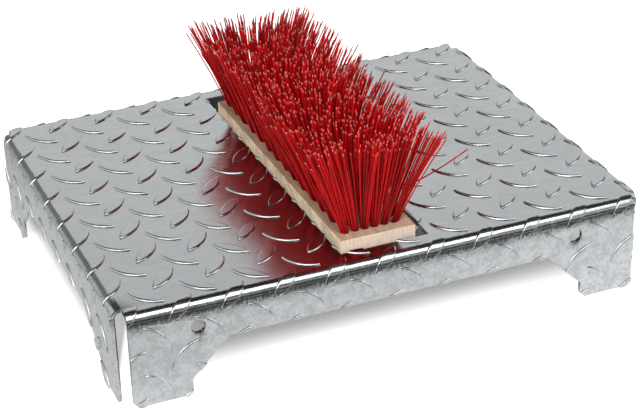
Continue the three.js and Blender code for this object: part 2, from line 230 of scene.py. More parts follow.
class Graph:
    """Builds the nodes of one tree."""

    def __init__(self, tree):
        self.tree = tree
        tree.nodes.clear()

    def node(self, kind, settings=None, inputs=None):
        """One node: its settings first, then the values or links of its sockets."""
        made = self.tree.nodes.new(kind)
        for name, setting in (settings or {}).items():
            setattr(made, name, setting)
        for key, value in (inputs or {}).items():
            socket = self.pick(made.inputs, key)
            for one in value if isinstance(value, list) else [value]:
                if isinstance(one, Value):
                    self.tree.links.new(one.socket, socket)
                else:
                    socket.default_value = one
        return made

    @staticmethod
    def pick(sockets, key):
        shown = [socket for socket in sockets if socket.enabled]
        return shown[key] if isinstance(key, int) else next(s for s in shown if s.name == key)

    def get(self, node, key=0):
        return Value(self, self.pick(node.outputs, key))

    def make(self, kind, settings=None, inputs=None, key=0):
        return self.get(self.node(kind, settings, inputs), key)

    def math(self, operation, *values):
        return self.make("ShaderNodeMath", {"operation": operation}, dict(enumerate(values)))

    def larger(self, a, b):
        return self.math("MAXIMUM", a, b)

    def smaller(self, a, b):
        return self.math("MINIMUM", a, b)

    def vector(self, operation, *values):
        return self.make("ShaderNodeVectorMath", {"operation": operation}, dict(enumerate(values)))

    def scaled(self, vector, factor):
        """A vector times a number."""
        return self.make("ShaderNodeVectorMath", {"operation": "SCALE"}, {0: vector, "Scale": factor})

    def split(self, vector):
        """The three parts of a vector."""
        parts = self.node("ShaderNodeSeparateXYZ", None, {0: vector})
        return [self.get(parts, axis) for axis in "XYZ"]

    def xyz(self, x=0.0, y=0.0, z=0.0):
        """A vector from its three parts."""
        return self.make("ShaderNodeCombineXYZ", None, {"X": x, "Y": y, "Z": z})

    def smooth(self, value, low, high):
        """Rises smoothly from 0 at low to 1 at high."""
        inputs = {"Value": value, "From Min": low, "From Max": high}
        return self.make("ShaderNodeMapRange", {"interpolation_type": "SMOOTHSTEP"}, inputs)

    def fading(self, value, low, high):
        """Falls smoothly from 1 at low to 0 at high."""
        return 1.0 - self.smooth(value, low, high)

    def blend(self, factor, a, b):
        """Mixes two colours."""
        return self.make("ShaderNodeMix", {"data_type": "RGBA"}, {"Factor": factor, "A": a, "B": b})

    def noise(self, vector, scale, detail=2.0, roughness=0.5, stretch=None, turn=(0.0, 0.0, 0.0), **more):
        """Soft noise, drawn out along an axis where the stretch is small."""
        if stretch:
            inputs = {"Vector": vector, "Scale": stretch, "Rotation": turn}
            vector = self.make("ShaderNodeMapping", None, inputs)
        inputs = {"Vector": vector, "Scale": scale, "Detail": detail, "Roughness": roughness, **more}
        return self.make("ShaderNodeTexNoise", None, inputs)

    def chance(self, seed, low=0.0, high=1.0):
        """A random number for each point."""
        inputs = {"Min": low, "Max": high, "Seed": seed}
        return self.make("FunctionNodeRandomValue", {"data_type": "FLOAT"}, inputs)

    def position(self):
        return self.make("GeometryNodeInputPosition")

    def moved(self, geometry, **where):
        """Geometry at a new position or moved by an offset."""
        return self.make("GeometryNodeSetPosition", None, {"Geometry": geometry, **where})

    def real(self, geometry):
        """Geometry with its instances made real."""
        return self.make("GeometryNodeRealizeInstances", None, {"Geometry": geometry})

    def shape_of(self, holder):
        """The mesh of an object."""
        return self.make("GeometryNodeObjectInfo", None, {"Object": holder}, "Geometry")

    def repeated(self, points, shape, **how):
        """A shape at every point."""
        inputs = {"Points": points, "Instance": shape, **how}
        return self.make("GeometryNodeInstanceOnPoints", None, inputs)

    def joined(self, operation, inputs, solver="MANIFOLD"):
        """Closed meshes united, cut or intersected."""
        settings = {"operation": operation, "solver": solver}
        return self.make("GeometryNodeMeshBoolean", settings, inputs)

    def grid(self, columns, column_pitch, rows, row_pitch):
        """Points in columns and rows about the middle."""
        inputs = {"Size X": column_pitch * (columns - 1), "Size Y": row_pitch * (rows - 1)}
        return self.make("GeometryNodeMeshGrid", None, {**inputs, "Vertices X": columns, "Vertices Y": rows})

    def stored(self, geometry, name, value, kind="FLOAT_VECTOR"):
        """Keeps a value on each point under a name."""
        settings = {"data_type": kind, "domain": "POINT"}
        inputs = {"Geometry": geometry, "Name": name, "Value": value}
        return self.make("GeometryNodeStoreNamedAttribute", settings, inputs)

    def recalled(self, name, kind="FLOAT_VECTOR"):
        settings = {"data_type": kind}
        return self.make("GeometryNodeInputNamedAttribute", settings, {"Name": name}, "Attribute")


# Finishes

def rgba(tone):
    return (*tone, 1.0)


def toned(tone, share):
    """A colour made darker or paler, for a socket."""
    return (*(min(part * share, 1.0) for part in tone), 1.0)


def new_material(name):
    """A material with a surface shader, and the graph that its colours are drawn with."""
    material = bpy.data.materials.new(name)
    material.use_nodes = True
    graph = Graph(material.node_tree)
    shader = graph.node("ShaderNodeBsdfPrincipled")
    graph.node("ShaderNodeOutputMaterial", None, {"Surface": graph.get(shader)})
    coords = graph.make("ShaderNodeTexCoord", None, None, "Object")
    return material, graph, shader, coords


def finish(graph, shader, base, roughness, height, strength=1.0, distance=MM):
    """Joins a colour, a roughness and a relief to a surface shader."""
    relief = graph.make("ShaderNodeBump", None, {"Height": height, "Strength": strength, "Distance": distance})
    for name, value in (("Base Color", base), ("Roughness", roughness), ("Normal", relief)):
        graph.tree.links.new(value.socket, shader.inputs[name])


def zinc_material(plate):
    """Hot-dip zinc: frosty clouds, faint bands, a wavy face, drawn streaks over the folds, and painted shade in
    spiky dark bands beside the shine of the front and rear folds.
    """
    material, graph, shader, coords = new_material("galvanised_tear_plate")
    across, deep, height = graph.split(coords)
    radius, zinc, half_depth = plate.bend_radius, plate.zinc, plate.depth / 2
    streak_end, fold_foot = plate.height - 20 * MM, plate.height - radius
    past_side, past_front = abs(across), abs(deep)
    by_front = graph.smooth(past_front, half_depth - radius, half_depth - radius / 2)
    by_side = graph.smooth(past_side, plate.width / 2 - radius, plate.width / 2 - radius / 2)
    by_fold = graph.smooth(height, streak_end, fold_foot)
    upright = graph.fading(height, fold_foot, plate.height)
    run_out = graph.larger((height - streak_end) / (fold_foot - streak_end), 0.0)
    run_out = graph.smaller(run_out, 1.0)

    cloud = graph.noise(coords, 18.0, 4.0, 0.6)
    frost = graph.noise(coords, 150.0, 3.0, 0.65)
    crystals = graph.noise(coords, 420.0, 3.0, 0.6)
    fine = graph.noise(coords, 900.0, 3.0, 0.6)
    wave = graph.noise(coords, 34.0)
    band = graph.noise(coords, 160.0, 3.0, 0.6, (0.12, 1.0, 1.0))
    streak_front = graph.noise(coords, 1000.0, 3.0, 0.65, (1.0, 0.09, 0.09))
    streak_side = graph.noise(coords, 1000.0, 3.0, 0.65, (0.09, 1.0, 0.09))
    tone = cloud * 0.4 + frost * 0.3 + band * 0.3

    # Painted shade: spiky dark bands just below and just above the shine of the front and rear folds, drawn into
    # the zinc's colour in place of the dark reflection there
    hair = (streak_front - 0.5) * 2.4
    below_shine = graph.fading(height, fold_foot + 1.6 * MM, fold_foot + 3.0 * MM)
    painted_shade_below_fold = graph.smooth(run_out + hair * 0.55, 0.74, 0.92) * by_front * below_shine
    brow_end = half_depth - radius / 2
    brow = graph.smooth(past_front, half_depth - radius - 2.5 * MM, half_depth - radius + 1.5 * MM)
    brow = brow * graph.fading(past_front, brow_end - 1.0 * MM, brow_end + 0.7 * MM)
    brow = graph.smooth(brow + hair * 0.9, 0.60, 0.90)
    painted_shade_above_fold = brow * graph.smooth(height, fold_foot, plate.height - 1.5 * MM)
    painted_fold_shade = graph.larger(painted_shade_below_fold, painted_shade_above_fold)

    drawn = graph.blend(graph.smooth(tone, 0.32, 0.68), toned(zinc, 0.88), toned(zinc, 1.10))
    mottle = graph.smooth(frost * 0.6 + crystals * 0.4, 0.36, 0.64)
    frosty = graph.blend(mottle, toned(zinc, 0.84), toned(zinc, 1.20))
    clean = graph.blend(upright * 0.8, drawn, frosty)
    streaks = (streak_front * by_front + streak_side * by_side * 0.6) * by_fold * 0.16
    face = fine * 0.035 + wave * 0.22 + band * 0.05 + frost * 0.05
    lean = run_out * run_out * -0.95
    shader.inputs["Metallic"].default_value = 1.0
    finish(
        graph, shader,
        graph.blend(painted_fold_shade * 0.6, clean, toned(zinc, 0.10)),
        0.15 + graph.smooth(tone, 0.3, 0.7) * 0.09,
        face + streaks + lean + frost * upright * 0.16,
    )
    return material


def plain_metal(name, scale, span, tones, gloss, relief, smeared=False):
    """Metal with soft clouds in its tone, its gloss and its face."""
    material, graph, shader, coords = new_material(name)
    tone = graph.noise(coords, scale, 4.0 if smeared else 3.0, 0.6)
    if smeared:
        tone = tone * 0.6 + graph.noise(coords, 300.0, stretch=(0.1, 1.0, 1.0)) * 0.4
    base = graph.blend(graph.smooth(tone, *span), *tones)
    shader.inputs["Metallic"].default_value = 1.0
    finish(graph, shader, base, gloss[0] + tone * gloss[1], tone, *relief)
    return material


def wood_material(wood, low, high):
    """Sawn beech: grain along the block, pores, darker streaks, a pale cross-cut end and a rough side."""
    material, graph, shader, coords = new_material("beech_wood")
    across, deep, _ = graph.split(coords)
    skin = 0.5 * MM

    def at_face(distance, start, stop):
        """1 at the two faces of the block that an axis meets."""
        past_start = graph.smooth(distance, start + skin / 2, start + skin)
        return 1.0 - past_start * graph.fading(distance, stop - skin, stop)

    end_face = at_face(deep, low.y, high.y)
    side_face = at_face(across, low.x, high.x) * (1.0 - end_face)
    band = graph.noise(coords, 110.0, 4.0, 0.55, (1.0, 0.05, 1.6), (0.0, 0.18, 0.03), Distortion=0.6)
    fibre = graph.noise(coords, 900.0, 3.0, 0.6, (1.0, 0.03, 1.0))
    pores = graph.noise(coords, 1500.0, stretch=(1.0, 0.09, 1.0))
    cloud = graph.noise(coords, 60.0, 3.0)
    patch = graph.noise(coords, 190.0, 4.0, 0.65, (1.0, 0.55, 1.0))
    saw = graph.noise(coords, 800.0, stretch=(1.0, 1.0, 0.12), turn=(0.0, 0.75, 0.0))
    grain = band * 0.40 + fibre * 0.25 + cloud * 0.10 + patch * 0.25

    planed = graph.blend(graph.smooth(grain, 0.36, 0.64), toned(wood, 0.50), toned(wood, 1.0))
    planed = graph.blend(graph.smooth(band, 0.56, 0.68) * 0.6, planed, toned(wood, 0.40))
    planed = graph.blend(graph.smooth(pores, 0.62, 0.72) * 0.4, planed, toned(wood, 0.45))
    weathered = (wood[0] * 1.36, wood[1] * 1.55, wood[2] * 1.55)
    mottle = graph.smooth(cloud * 0.4 + patch * 0.6, 0.40, 0.60)
    rough_side = graph.blend(mottle, toned(weathered, 0.66), toned(weathered, 1.0))
    rough_side = graph.blend(graph.smooth(fibre, 0.55, 0.7) * 0.5, rough_side, toned(wood, 0.5))
    cut_end = (wood[0] * 1.15, wood[1] * 1.31, wood[2] * 1.52)
    hatched = graph.blend(graph.smooth(saw, 0.35, 0.65), toned(cut_end, 0.92), toned(cut_end, 1.05))
    base = graph.blend(end_face, graph.blend(side_face * 0.85, planed, rough_side), hatched)
    relief = fibre * 0.10 + pores * 0.06 + saw * end_face * 0.03 + cloud * side_face * 0.2
    shader.inputs["Specular IOR Level"].default_value = 0.3
    finish(graph, shader, base, 0.66 + fibre * 0.2, relief)
    return material


def bristle_material(red, cut_red):
    """Red plastic bristle: a satin skin, dark and bright strands whose random tones are partly real and partly
    painted shade and highlight, and a pale bruised end where it was cut.
    """
    material, graph, shader, coords = new_material("red_bristle")
    along, strand = (
        graph.make("ShaderNodeAttribute", {"attribute_name": name}, None, "Fac") for name in ("along", "strand")
    )
    # Dark and bright strands: a random tone for each strand, partly real and partly painted shade and highlight
    skin = graph.blend(strand, toned(red, 0.40), toned(red, 1.3))
    worn = graph.noise(coords, 260.0)
    end = graph.smooth(along + (worn - 0.5) * 0.012, 0.974, 0.988)
    base = graph.blend(end * (0.35 + strand * 0.65), skin, rgba(cut_red))
    shader.inputs["Specular IOR Level"].default_value = 0.3
    finish(graph, shader, base, 0.34 + end * 0.3 + strand * 0.1, worn, 0.1, 0.2 * MM)
    return material


# Meshes and pieces

def new_object(name, data):
    made = bpy.data.objects.new(name, data)
    bpy.context.scene.collection.objects.link(made)
    return made


def mesh_of(name, made):
    """A Blender mesh from a closed bmesh, with its faces turned outwards."""
    bmesh.ops.recalc_face_normals(made, faces=made.faces)
    mesh = bpy.data.meshes.new(name)
    made.to_mesh(mesh)
    made.free()
    return mesh


def walled(made, rings):
    """Faces between rings of points that follow each other."""
    faces = []
    for lower, upper in zip(rings, rings[1:]):
        for i in range(len(lower)):
            j = (i + 1) % len(lower)
            faces.append(made.faces.new([lower[i], lower[j], upper[j], upper[i]]))
    return faces


def tube(made, rings):
    """Walls between rings, closed at both ends."""
    return [*walled(made, rings), made.faces.new(rings[-1]), made.faces.new(rings[0][::-1])]


def turns(sides):
    """Angles of points evenly round a circle."""
    return [FULL_TURN * i / sides for i in range(sides)]


def curved(start, corner, end, share):
    """A point on the smooth curve from start to end that a corner pulls."""
    return start * (1 - share) ** 2 + corner * 2 * share * (1 - share) + end * share**2


def rise_of(edge):
    return abs(edge.verts[0].co.z - edge.verts[1].co.z)


def rims_of(made):
    """Edges where two faces meet at a sharp corner."""
    return [edge for edge in made.edges if edge.calc_face_angle(0.0) > RIM_ANGLE]


def rounded(made, edges, offset, segments):
    bmesh.ops.bevel(made, geom=edges, offset=offset, segments=segments, profile=0.5, affect="EDGES")


def socket_kind(value):
    """The kind of socket that takes a value."""
    kinds = {
        bpy.types.Object: "Object", bpy.types.Material: "Material", Vector: "Vector", int: "Int", float: "Float",
    }
    return "NodeSocket" + next(kind for python, kind in kinds.items() if isinstance(value, python))


def new_tree(title, build, values):
    """A geometry tree with an input for each value, which ends in real geometry of one material."""
    tree = bpy.data.node_groups.new(title, "GeometryNodeTree")
    add = tree.interface.new_socket
    add(name="Geometry", in_out="INPUT", socket_type="NodeSocketGeometry")
    for label, value in values.items():
        add(name=label, in_out="INPUT", socket_type=socket_kind(value))
    add(name="Geometry", in_out="OUTPUT", socket_type="NodeSocketGeometry")
    graph = Graph(tree)
    group = graph.node("NodeGroupInput")
    inputs = {socket.name: Value(graph, socket) for socket in group.outputs if socket.name}
    real = graph.real(build(graph, inputs))
    painted = graph.make("GeometryNodeSetMaterial", None, {"Geometry": real, "Material": inputs["Material"]})
    graph.node("NodeGroupOutput", None, {"Geometry": painted})
    return tree


def grown(name, tree, values, mesh=None):
    """A plain mesh object that a geometry tree made."""
    made = new_object(name, mesh or bpy.data.meshes.new(name))
    modifier = made.modifiers.new("Grow", "NODES")
    modifier.node_group = tree
    for label, value in values.items():
        modifier[tree.interface.items_tree[label].identifier] = value
    depsgraph = bpy.context.evaluated_depsgraph_get()
    plain = bpy.data.meshes.new_from_object(
        made.evaluated_get(depsgraph), preserve_all_data_layers=True, depsgraph=depsgraph
    )
    made.modifiers.remove(modifier)
    made.data = plain
    plain.name = name
    return made


def shade(mesh, degrees):
    mesh.shade_smooth()
    mesh.set_sharp_from_angle(angle=math.radians(degrees))


def settle(piece, slot, *nodes):
    """A finished piece rides on the one body and stands for its CAD nodes, which are hidden."""
    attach(piece, BODY)
    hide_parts(*nodes)


# Flat sheet of the step

def flat_reach(plate, half, height):
    """Distance of a height from the middle of the flat sheet, for a side at half a step size."""
    arc = plate.bend_radius * QUARTER_TURN
    return half - plate.bend_radius + arc + plate.height - plate.bend_radius - height


def flange_half(plate):
    """Half the width of the front flange."""
    return plate.width / 2 - plate.bend_radius - plate.front_relief


def outline(plate):
    """Outer edge of the flat sheet, anticlockwise: four flanges with feet, and a notch at each corner."""
    half_front = flange_half(plate)
    half_side = plate.depth / 2 - plate.bend_radius - plate.side_relief
    slope = plate.recess_height - plate.foot_rise
    cut = plate.foot_chamfer
    loop = []
    for quarter in range(4):
        if quarter % 2:
            half, other, reach = half_side, half_front, plate.width / 2
            inner = half - plate.side_foot_width
            sole = [(half, 0), (inner, 0)]
        else:
            half, other, reach = half_front, half_side, plate.depth / 2
            inner = half - plate.foot_width
            sole = [(half, cut), (half - cut, 0), (inner + cut, 0), (inner, cut)]
        foot = [*sole, (inner, plate.foot_rise), (inner - slope, plate.recess_height)]
        edge = [(-half, other)]
        edge += [(-along, flat_reach(plate, reach, height)) for along, height in foot]
        edge += [(along, flat_reach(plate, reach, height)) for along, height in reversed(foot)]
        turn = Matrix.Rotation(quarter * QUARTER_TURN, 2)
        loop += [turn @ Vector((along, -outward)) for along, outward in edge]
    return loop


def holes(plate):
    """Edges of the opening and of the bolt holes in the flat sheet."""
    half_width, half_length = plate.opening_width / 2, plate.opening_length / 2
    middle = Vector((plate.opening_x, plate.opening_y))
    corners = [(-1, -1), (1, -1), (1, 1), (-1, 1)]
    loops = [[middle + Vector((x * half_width, y * half_length)) for x, y in corners]]
    reach = flat_reach(plate, plate.depth / 2, plate.bolt_height)
    hole_sides = 32
    for x in (-1, 1):
        for y in (-1, 1):
            centre = Vector((x * (flange_half(plate) - plate.bolt_from_end), y * reach))
            spokes = [Vector((math.cos(t), math.sin(t))) for t in turns(hole_sides)]
            loops.append([centre + plate.bolt_hole / 2 * spoke for spoke in spokes])
    return loops


def crease_lines(plate):
    """Lines over the flat sheet where a fold turns, and one beside each fold that keeps the flats flat."""
    arc = plate.bend_radius * QUARTER_TURN
    beside = 0.8 * MM
    facets = plate.bend_facets
    steps = [-beside, *(arc * i / facets for i in range(facets + 1)), arc + beside]
    far = plate.width
    lines = []
    for side in (-1, 1):
        for step in steps:
            x = side * (plate.width / 2 - plate.bend_radius + step)
            y = side * (plate.depth / 2 - plate.bend_radius + step)
            lines += [(Vector((x, -far)), Vector((x, far))), (Vector((-far, y)), Vector((far, y)))]
    return lines


def inside(point, loop):
    """Whether a point lies within a closed line."""
    crossings = 0
    for a, b in zip(loop, loop[1:] + loop[:1]):
        if (a.y > point.y) != (b.y > point.y):
            x = a.x + (point.y - a.y) / (b.y - a.y) * (b.x - a.x)
            crossings += x > point.x
    return crossings % 2 == 1


def slab(plate, low, high, lines):
    """The flat sheet as a closed solid between two heights, with creases along the lines."""
    edge, cut = outline(plate), holes(plate)
    points, edges = [], []
    for loop in [edge, *cut]:
        first = len(points)
        points += loop
        edges += [(first + i, first + (i + 1) % len(loop)) for i in range(len(loop))]
    for a, b in lines:
        edges.append((len(points), len(points) + 1))
        points += [a, b]
    nearest = 1e-7
    found, _, triangles, *_ = delaunay_2d_cdt(points, edges, [], 0, nearest)
    kept = []
    for triangle in triangles:
        middle = sum((found[i] for i in triangle), Vector((0.0, 0.0))) / 3
        if inside(middle, edge) and not any(inside(middle, loop) for loop in cut):
            kept.append(triangle)
    made = bmesh.new()
    used = sorted({corner for triangle in kept for corner in triangle})
    top = {i: made.verts.new((*found[i], high)) for i in used}
    for triangle in kept:
        made.faces.new([top[i] for i in triangle])
    lower = bmesh.ops.extrude_face_region(made, geom=made.faces[:])["geom"]
    for vert in (item for item in lower if isinstance(item, bmesh.types.BMVert)):
        vert.co.z = low
    bmesh.ops.recalc_face_normals(made, faces=made.faces)
    return made


def sheet_mesh(plate):
    """The creased flat sheet with its cut edges broken."""
    made = slab(plate, -plate.sheet, 0.0, crease_lines(plate))
    rims = [edge for edge in rims_of(made) if rise_of(edge) < MM / 10]
    rounded(made, rims, plate.edge_break, 2)
    return mesh_of("sheet", made)


def lug_mesh(plate):
    """One lug: a lens between two arcs, with steep narrow flanks and a flat crown."""
    profile = [(-0.05, -0.3), (0.32, 0.72), (0.56, 1.12), (0.8, 1.32), (1.08, 1.44), (1.45, 1.5), (1.9, 1.5)]
    crown = profile[-1][1]
    end_share = 1.25
    steps = 10
    bluntness = 1.7
    angles = [math.pi * (i / steps - 0.5) for i in range(steps)]
    made = bmesh.new()
    rings = []
    for inset, rise in profile:
        half_width = plate.lug_width / 2 - inset * MM
        half_length = plate.lug_length / 2 - inset * end_share * MM
        side = [(half_length * math.sin(a), half_width * abs(math.cos(a)) ** bluntness) for a in angles]
        ring = side + [(-x, -y) for x, y in side]
        height = rise * plate.lug_height / crown
        rings.append([made.verts.new((x, y, height)) for x, y in ring])
    tube(made, rings)
    return mesh_of("lug", made)


def creased(mesh, plate):
    """Cuts a flat mesh along every crease, so that it can turn there."""
    made = bmesh.new()
    made.from_mesh(mesh)
    nearest = 0.001 * MM
    for a, b in crease_lines(plate):
        along = (b - a).normalized()
        parts = made.verts[:] + made.edges[:] + made.faces[:]
        normal = (-along.y, along.x, 0.0)
        bmesh.ops.bisect_plane(made, geom=parts, dist=nearest, plane_co=(*a, 0.0), plane_no=normal)
    made.to_mesh(mesh)
    made.free()


def lay_lugs(graph, inputs):
    """Lugs of both directions on square grids over the flat sheet, trimmed at its edges."""
    rows = []
    for kind, turn in (("Falling", -math.pi / 4), ("Rising", math.pi / 4)):
        each_way, pitch = inputs["Lugs each way"], inputs["Lug pitch"]
        start = graph.xyz(inputs[kind + " lug X"], inputs[kind + " lug Y"])
        points = graph.moved(graph.grid(each_way, pitch, each_way, pitch), Offset=start)
        rows.append(graph.repeated(points, graph.shape_of(inputs["Lug"]), Rotation=(0.0, 0.0, turn)))
    lugs = graph.real(graph.make("GeometryNodeJoinGeometry", None, {"Geometry": rows}))
    return graph.joined("INTERSECT", {"Mesh": [lugs, graph.shape_of(inputs["Trim"])]})


def folded(graph, geometry, inputs):
    """Folds what lies on the flat sheet down over the four bends."""
    radius, top = inputs["Bend radius"], inputs["Height"]
    x, y, rise = graph.split(graph.position())
    outs, heights = [], []
    for distance, half in ((x, inputs["Half width"]), (y, inputs["Half depth"])):
        flat = half - radius
        past = abs(distance) - flat
        angle = graph.smaller(graph.larger(past / radius, 0.0), QUARTER_TURN)
        out = graph.smaller(abs(distance), flat) + (radius + rise) * graph.math("SINE", angle)
        straight = graph.larger(past - radius * QUARTER_TURN, 0.0)
        outs.append(out * graph.math("SIGN", distance))
        heights.append(top - radius + (radius + rise) * graph.math("COSINE", angle) - straight)
    return graph.moved(geometry, Position=graph.xyz(*outs, graph.smaller(*heights)))


def fold_plate(graph, inputs):
    """The flat sheet and its lugs, folded down over the four bends and joined."""
    pieces = [folded(graph, part, inputs) for part in (inputs["Geometry"], graph.shape_of(inputs["Lugs"]))]
    return graph.joined("UNION", {"Mesh": pieces})


class BOOTSCRAPER_OT_plate(bpy.types.Operator):
    """Folds the step from one sheet of tear plate"""

    bl_idname = "bootscraper.plate"
    bl_label = "Build step plate"

    def execute(self, context):
        plate = context.scene.scraper_plate
        zinc = zinc_material(plate)
        trim_mesh = mesh_of("lug_trim", slab(plate, -plate.sheet / 2, 2 * plate.lug_height, []))
        trim = new_object("lug_trim", trim_mesh)
        lug = new_object("lug", lug_mesh(plate))
        keys = ("lug_pitch", "lugs_each_way", "falling_x", "falling_y", "rising_x", "rising_y")
        laid = {**named(plate, *keys), "Lug": lug, "Trim": trim, "Material": zinc}
        lugs = grown("lugs", new_tree("Lay lugs", lay_lugs, laid), laid)
        creased(lugs.data, plate)
        values = {
            **named(plate, "height", "bend_radius"), "Half width": plate.width / 2,
            "Half depth": plate.depth / 2, "Lugs": lugs, "Material": zinc,
        }
        tree = new_tree("Fold tear plate", fold_plate, values)
        step = grown("tear_plate_step", tree, values, sheet_mesh(plate))
        for helper in (trim, lug, lugs):
            bpy.data.objects.remove(helper)
        fewest_faces = 1000
        if len(step.data.polygons) < fewest_faces:
            raise RuntimeError("the step plate came out empty")
        shade(step.data, 32)
        settle(step, "galvanised_tear_plate", "step_plate")
        return {"FINISHED"}


# Broom head

def field_middle(brush):
    """Middle of the tufts on the block's top."""
    middle = (BLOCK_LOW + BLOCK_HIGH) / 2
    return Vector((middle.x + brush.field_x, middle.y, BLOCK_TOP))


def tuft_values(brush, low, high):
    """What places the tufts that lie between two distances from the middle of the block."""
    keys = ("columns", "half_rows", "column_pitch", "row_pitch", "hole_depth")
    return {**named(brush, *keys), "Centre": field_middle(brush), "From Y": low, "To Y": high}


def tuft_points(graph, inputs):
    """Middles of the tufts on the block's top: staggered rows, with the first and last row full."""
    columns, rows = inputs["Columns"], inputs["Half rows"]
    across, along = inputs["Column pitch"], inputs["Row pitch"]
    points = graph.grid(columns, across, rows, along)
    x, y, _ = graph.split(graph.position())
    column = graph.math("ROUND", x / across + (columns - 1) / 2)
    row = graph.math("ROUND", y / along + (rows - 1) / 2)
    odd = graph.math("MODULO", column + row, 2.0)
    inner = (row > 0.5) * (row < rows - 1.5)
    outside = (y < inputs["From Y"]) + (y > inputs["To Y"])
    dropped = odd * inner + outside > 0.5
    inputs_of = {"Geometry": points, "Selection": dropped}
    kept = graph.make("GeometryNodeDeleteGeometry", {"domain": "POINT"}, inputs_of)
    return graph.moved(kept, Offset=inputs["Centre"])


def drill_block(graph, inputs):
    """The block with a hole for each tuft."""
    size = {"Vertices": 16, "Radius": inputs["Hole radius"], "Depth": inputs["Hole depth"] * 2}
    drill = graph.make("GeometryNodeMeshCylinder", None, size, "Mesh")
    bits = graph.real(graph.repeated(tuft_points(graph, inputs), drill))
    return graph.joined("DIFFERENCE", {"Mesh 1": inputs["Geometry"], "Mesh 2": bits})


def block_mesh(low, high, corner):
    """The wooden block with its edges rounded."""
    made = bmesh.new()
    bmesh.ops.create_cube(made, size=1.0)
    size = high - low
    for vert in made.verts:
        vert.co = low + Vector((part + 0.5) * side for part, side in zip(vert.co, size))
    rounded(made, [edge for edge in made.edges if rise_of(edge) > MM], corner, 4)
    rounded(made, rims_of(made), corner / 2, 3)
    return mesh_of("block", made)


def strand_mesh(brush):
    """One upright bristle of height 1, with its place along itself kept on each point."""
    sides = 5
    made = bmesh.new()
    layer = made.verts.layers.float.new("along")
    rings = []
    for height, width in ((0.0, 1.0), (0.25, 1.0), (0.5, 1.0), (0.75, 1.0), (0.972, 1.0), (1.0, 0.8)):
        reach = brush.strand_radius * width
        ring = [made.verts.new((reach * math.cos(t), reach * math.sin(t), height)) for t in turns(sides)]
        for vert in ring:
            vert[layer] = height
        rings.append(ring)
    tube(made, rings)
    return mesh_of("strand", made)


def grow_bristles(graph, inputs):
    """Bristles that stand in round tufts and fan out towards the edges of the brush."""
    golden_angle = 2.39996
    seed, count_of, centre = inputs["Seed"], inputs["Strands"], inputs["Centre"]
    root_depth, wander = inputs["Hole depth"], inputs["Wander"]

    index = graph.make("GeometryNodeInputIndex")
    ring = inputs["Tuft radius"] * graph.math("SQRT", (index + 0.5) / count_of)
    angle = index * golden_angle
    spot = graph.xyz(ring * graph.math("COSINE", angle), ring * graph.math("SINE", angle))
    bunch = graph.make("GeometryNodePoints", None, {"Count": count_of, "Position": spot})
    tufts = graph.stored(tuft_points(graph, inputs), "tuft", graph.position())
    bunched = graph.xyz(
        graph.chance(seed + 7, -1.0, 1.0), graph.chance(seed + 8, -1.0, 1.0), graph.chance(seed + 9, -0.45, 0.0)
    )
    tufts = graph.stored(tufts, "bunched", bunched)
    turned = graph.xyz(z=graph.chance(seed, 0.0, 6.28))

    roots = graph.real(graph.repeated(tufts, bunch, Rotation=turned))
    roots = graph.stored(roots, "root", graph.position())
    # A random value for each strand, which the bristle's colour turns into dark and bright strands, partly
    # painted shade and highlight
    roots = graph.stored(roots, "strand", graph.chance(seed + 1), "FLOAT")
    stray = graph.chance(seed + 2) ** 10.0 * 2.2 + 0.45
    kick = graph.xyz(graph.chance(seed + 3, -1.0, 1.0) * stray, graph.chance(seed + 4, -1.0, 1.0) * stray)
    roots = graph.stored(roots, "kick", kick)
    short = graph.chance(seed + 5) ** 2.0 * inputs["Uneven"]
    shorter = (graph.chance(seed + 6) > 0.985) * inputs["Uneven"]
    tall = inputs["Bristle height"] + root_depth - short - shorter
    scale = graph.xyz(1.0, 1.0, tall)
    strands = graph.real(graph.repeated(roots, graph.shape_of(inputs["Strand"]), Scale=scale))

    along = graph.recalled("along", "FLOAT")
    root = graph.recalled("root")
    middle_x, middle_y, _ = graph.split(graph.vector("SUBTRACT", root, centre))
    side, end = middle_x / inputs["Half field width"], middle_y / inputs["Half field length"]
    fan = graph.xyz(side * inputs["Side lean"], end * end * end * inputs["End lean"] - side * inputs["Twist"])
    fan = graph.vector("ADD", fan, inputs["Drift"])
    from_tuft = graph.vector("SUBTRACT", root, graph.recalled("tuft"))
    strayed = graph.vector("ADD", graph.recalled("kick"), graph.recalled("bunched"))
    offset = graph.xyz(z=-root_depth)
    for part, share in (
        (fan, along * (0.85 + along * 0.15)),
        (from_tuft, along * inputs["Splay"]),
        (strayed, along * (0.3 + along * 0.7) * wander),
    ):
        offset = graph.vector("ADD", offset, graph.scaled(part, share))
    strands = graph.moved(strands, Offset=offset)
    for name in ("root", "kick", "tuft", "bunched"):
        strands = graph.make("GeometryNodeRemoveAttribute", None, {"Geometry": strands, "Name": name})
    return graph.make("GeometryNodeSetShadeSmooth", None, {"Geometry": strands})


def add_loose_bristle(mesh, brush):
    """One bristle at the front right that has bent far out of its tuft."""
    root, knee, tip = (Vector(point) * MM for point in ((16, -96, 84), (44, -110, 97), (75.6, -119, 121)))
    steps, sides = 8, 5
    middle_tone = 0.5
    made = bmesh.new()
    made.from_mesh(mesh)
    made.faces.ensure_lookup_table()
    painted = made.faces[0].material_index
    along = made.verts.layers.float.get("along")
    strand = made.verts.layers.float.get("strand")
    rings = []
    for i in range(steps + 1):
        middle = curved(root, knee, tip, i / steps)
        spokes = [Vector((0.0, math.cos(t), math.sin(t))) * brush.strand_radius for t in turns(sides)]
        rings.append([made.verts.new(middle + spoke) for spoke in spokes])
        for vert in rings[-1]:
            vert[along] = i / steps
            vert[strand] = middle_tone
    for face in tube(made, rings):
        face.smooth = True
        face.material_index = painted
    made.to_mesh(mesh)
    made.free()


